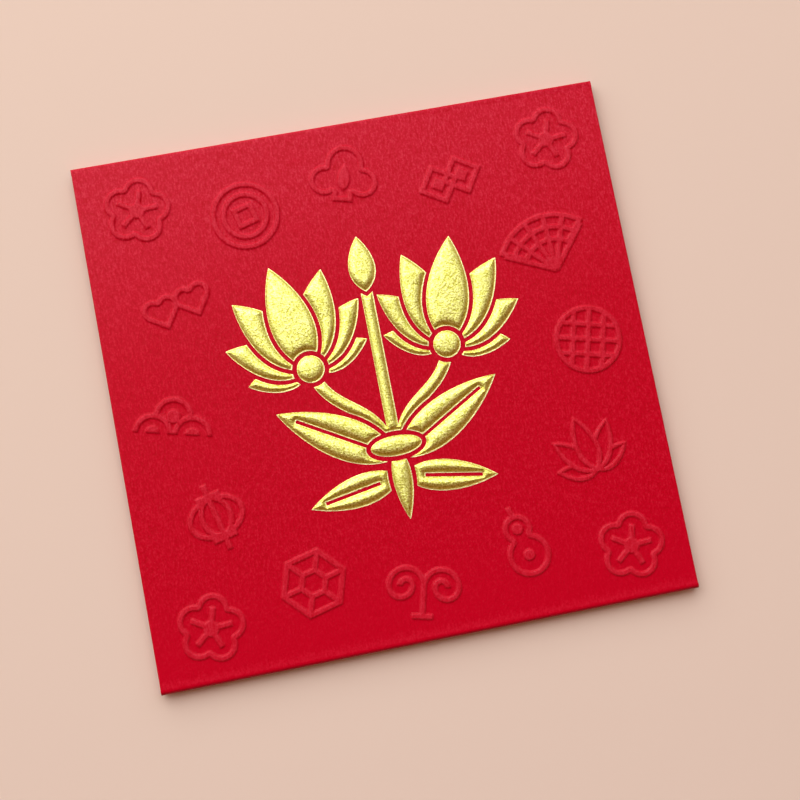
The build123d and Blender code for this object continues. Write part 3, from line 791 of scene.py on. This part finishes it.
def sheet_of(heights_in_mm, faces):
    """Plan triangles raised to their heights above the panel's face."""
    data = bpy.data.meshes.new("sheet")
    corners = [(x * MM, y * MM, panel_top + z * MM) for (x, y), z in zip(plan_points, heights_in_mm)]
    data.from_pydata(corners, [], faces)
    mesh = bmesh.new()
    mesh.from_mesh(data)
    bpy.data.meshes.remove(data)
    bmesh.ops.delete(mesh, geom=[corner for corner in mesh.verts if not corner.link_faces], context="VERTS")
    return mesh


def finish_by_facing(mesh, outer_sign):
    """Finish 0 on the outer side, 1 on the inner side and 2 on the cut edges."""
    for face in mesh.faces:
        upright = face.normal.z * outer_sign
        face.material_index = 0 if upright > LOOKS_UP else 1 if upright < -LOOKS_UP else 2


panel = sheet_of(heights, plan_faces)
rim = [edge for edge in panel.edges if edge.is_boundary]
drawn = bmesh.ops.extrude_edge_only(panel, edges=rim)["geom"]
for corner in (part for part in drawn if isinstance(part, bmesh.types.BMVert)):
    corner.co.z = panel_corner.z
lower_edges = [part for part in drawn if isinstance(part, bmesh.types.BMEdge) and part.is_boundary]
bmesh.ops.edgeloop_fill(panel, edges=lower_edges)
bmesh.ops.recalc_face_normals(panel, faces=panel.faces)
finish_by_facing(panel, 1)
embossed_front = make_piece("embossed_front", panel, card_finishes, ["front_panel"], "envelope")

# %% [markdown]
# The finish of the front asks each point whether the die has raised it, and paints a highlight there. That
# is its height over the level card, as a share of an ornament's rise, stored with the mesh.

# %% Raised card
lifted = np.array([corner.co.z - panel_top for corner in embossed_front.data.vertices])
raised_share = np.clip(lifted / (motif_top - panel_top), 0.0, 1.0)
embossed_front.data.attributes.new("raised", "FLOAT", "POINT").data.foreach_set("value", raised_share)
print("raised by half or more:", int((raised_share > 0.5).sum()), "of", len(raised_share), "points")

# %% [markdown]
# The foil follows the bed exactly, so it is cut from the same triangles: those inside the emblem's
# outlines. An extrusion that keeps the first faces gives the film its thickness.

# %% Stamped foil
FILM_GAP = 0.004
foil_low, foil_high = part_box("gold_emblem")
film = (foil_high.z - foil_low.z) / MM


def middle_of(face):
    """The centre of a plan triangle."""
    return sum((plan_points[corner] for corner in face), Vector((0.0, 0.0))) / len(face)


foil_faces = [face for face in plan_faces if emblem.covers(middle_of(face))]
skin = sheet_of(heights + FILM_GAP, foil_faces)
raised = bmesh.ops.extrude_face_region(skin, geom=skin.faces[:], use_keep_orig=True)["geom"]
lift = Vector((0.0, 0.0, (film - FILM_GAP) * MM))
bmesh.ops.translate(skin, vec=lift, verts=[part for part in raised if isinstance(part, bmesh.types.BMVert)])
bmesh.ops.recalc_face_normals(skin, faces=skin.faces)
stamped_foil = make_piece("stamped_foil", skin, (foil,), ["gold_emblem"], "envelope")

# %% [markdown]
# The finish of the foil asks each point two things: is it on the steep flank, which is given a deeper olive
# gold, and is it on the level lip outside the relief, which gets a painted highlight? Both follow from the
# depth inside the relief, and are stored with the mesh.

# %% Flanks and lips of the foil
FLANK_WIDTH = 0.75
FLANK_MOST = 0.45
LIP_WIDTH = 0.08
LIP_HIGHLIGHT_SHIFT = 1.6
inward = np.array([inside_relief(flat(corner.co)) for corner in stamped_foil.data.vertices])
flank = FLANK_MOST * (soft_step(inward / LIP_WIDTH) - soft_step(inward / FLANK_WIDTH))
# Painted highlight on the level lip outside the relief.
lip_highlight = 1 - soft_step(inward / LIP_WIDTH + LIP_HIGHLIGHT_SHIFT)
for name, values in (("flank", flank), ("lip_highlight", lip_highlight)):
    stamped_foil.data.attributes.new(name, "FLOAT", "POINT").data.foreach_set("value", values)
    print(name, "on", int((values > 0).sum()), "of", len(values), "points")

# %% [markdown]
# Plates of die-cut card have crisp edges with the least rounding from the knife. Each plate starts from
# its CAD copy; the triangles of its flat sides are dissolved into one face, and the cut edges get a fine
# bevel. The wall where a plate runs on into a fold is no cut, so its edges are spared.

# %% Die-cut plates
ALONG_X = Vector((1.0, 0.0, 0.0))
ALONG_Y = Vector((0.0, 1.0, 0.0))
CUT_ROUNDING = 0.05 * MM
CUT_STEPS = 2
FLAT_WITHIN = math.radians(1)
FACES_IT = 0.9


def cut_plate(name, spared=None, rounding=CUT_ROUNDING):
    """A CAD plate with softened cut edges, but none along a wall that faces the spared direction."""
    mesh = merged_copy(name)
    bmesh.ops.dissolve_limit(mesh, angle_limit=FLAT_WITHIN, verts=mesh.verts, edges=mesh.edges)
    cuts = []
    for edge in mesh.edges:
        flats = [abs(face.normal.z) > FACES_IT for face in edge.link_faces]
        folded = spared and any(face.normal.dot(spared) > FACES_IT for face in edge.link_faces)
        if any(flats) and not all(flats) and not folded:
            cuts.append(edge)
    bmesh.ops.bevel(mesh, geom=cuts, offset=rounding, offset_type="OFFSET", segments=CUT_STEPS, profile=0.5,
                    affect="EDGES", clamp_overlap=True, material=-1)
    return mesh


for node_name, piece_name, spared in (
    ("back_panel", "back_leaf", -ALONG_Y),
    ("left_side_tab", "left_tab_leaf", -ALONG_X),
    ("right_side_tab", "right_tab_leaf", ALONG_X),
):
    plate = cut_plate(node_name, spared)
    finish_by_facing(plate, -1)
    make_piece(piece_name, plate, card_finishes, [node_name], "envelope")

# %% [markdown]
# A fold is a strip of card that turns half round. A spin makes it: the wall at the panel's rim is carried
# about the fold's middle line and leaves the strip behind it. Scored card turns more tightly near its
# faces than a circle does, so the round is then squared up a little, most at the sides and the top, where
# the picture shows crisp edges, and hardly at all along the bottom, which is softly rounded.

# %% Folds at the sides and the bottom
FOLD_STEPS = 28
SIDE_SQUARENESS = 6.0
BOTTOM_SQUARENESS = 2.3
IS_CUT_END = 0.7


def fold_round(mesh, wall, middle, axis, turn, squareness):
    """Carries a wall half a turn about a fold's middle line. A squareness of 2 is a true round."""
    before = set(mesh.verts)
    bmesh.ops.spin(mesh, geom=[wall], cent=middle, axis=axis, angle=turn, steps=FOLD_STEPS)
    for corner in mesh.verts:
        if corner not in before:
            arm = corner.co - middle
            arm -= arm.project(axis)
            rise = min(abs(arm.z) / arm.length, 1.0)
            push = (rise ** squareness + (1 - rise * rise) ** (squareness / 2)) ** (-1 / squareness)
            corner.co += arm * (push - 1)


def finish_fold(faces, middle, axis):
    """Finish 0 outside the turn, 1 inside it and 2 on the cut ends."""
    for face in faces:
        arm = face.calc_center_median() - middle
        arm -= arm.project(axis)
        is_end = abs(face.normal.dot(axis)) > IS_CUT_END
        face.material_index = 2 if is_end else 0 if face.normal.dot(arm) > 0 else 1


near, far = panel_corner, panel_far_corner
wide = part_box("bottom_fold")[1].x
left_ends = ((near.x, near.y), (near.x, far.y))
right_ends = ((far.x, near.y), (far.x, far.y))
bottom_ends = ((-wide, near.y), (wide, near.y))
for node_name, piece_name, ends, axis, turn, squareness in (
    ("left_side_fold", "left_edge", left_ends, ALONG_Y, -math.pi, SIDE_SQUARENESS),
    ("right_side_fold", "right_edge", right_ends, ALONG_Y, math.pi, SIDE_SQUARENESS),
    ("bottom_fold", "bottom_edge", bottom_ends, ALONG_X, math.pi, BOTTOM_SQUARENESS),
):
    fold_low, fold_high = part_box(node_name)
    middle = Vector((*ends[0], (fold_low.z + fold_high.z) / 2))
    strip = bmesh.new()
    corners = [(ends[0], near.z), (ends[1], near.z), (ends[1], panel_top), (ends[0], panel_top)]
    wall = strip.faces.new([strip.verts.new((*end, height)) for end, height in corners])
    fold_round(strip, wall, middle, axis, turn, squareness)
    bmesh.ops.recalc_face_normals(strip, faces=strip.faces)
    finish_fold(strip.faces, middle, axis)
    make_piece(piece_name, strip, card_finishes, [node_name], "envelope")

# %% [markdown]
# The flap and its crease are one strip of card, so they are one piece: the wall at the flap's root is
# carried half a turn about the hinge line, up to the edge of the front. The piece gets no body here, and
# its place is baked into its mesh.

# %% Flap and crease
hinge_point = Vector(frame["joints"][0]["pos_m"])
flap = cut_plate("closure_flap", ALONG_Y)
root = max(flap.faces, key=lambda face: face.normal.y)
for corner in root.verts:
    corner.co.y = hinge_point.y
plate_faces = set(flap.faces)
finish_by_facing(flap, -1)
fold_round(flap, root, hinge_point, ALONG_X, math.pi, SIDE_SQUARENESS)
bmesh.ops.delete(flap, geom=[root], context="FACES_ONLY")
bmesh.ops.recalc_face_normals(flap, faces=flap.faces)
finish_fold([face for face in flap.faces if face not in plate_faces], hinge_point, ALONG_X)
flap_piece = make_piece("flap_and_crease", flap, card_finishes, ["closure_flap", "flap_fold"])
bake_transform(flap_piece)

# %% [markdown]
# The closing strip is two thin layers on the flap's inner side. Their CAD plates become pieces with
# softened edges like the card's, and ride on the flap. The two lines of glue are flat films that are
# right as they are, so those CAD parts stay and only take their finish.

# %% Closing strip and glue
FILM_ROUNDING = 0.02 * MM
for node_name, piece_name, slot, finish in (
    ("closing_tape", "tape_film", "clear_tape", tape_finish),
    ("release_paper", "release_strip", "release_paper", release_finish),
):
    layer = cut_plate(node_name, rounding=FILM_ROUNDING)
    make_piece(piece_name, layer, (finish,), [node_name], "flap")
for node_name in ("left_glue_strip", "right_glue_strip"):
    frame["nodes"][node_name].material_slots[0].material = glue_finish
    print(node_name, "takes", glue_finish.name)

# %% [markdown]
# Last, the sizes: the box of the CAD model and the box of the dressed one, side by side, so that a piece
# that grew out of its place is noticed at once.

# %% Sizes and finish
new_lowest, new_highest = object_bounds()
growth = (new_highest - new_lowest) - (cad_highest - cad_lowest)
print("grown by", [round(value / MM, 3) for value in growth], "mm")
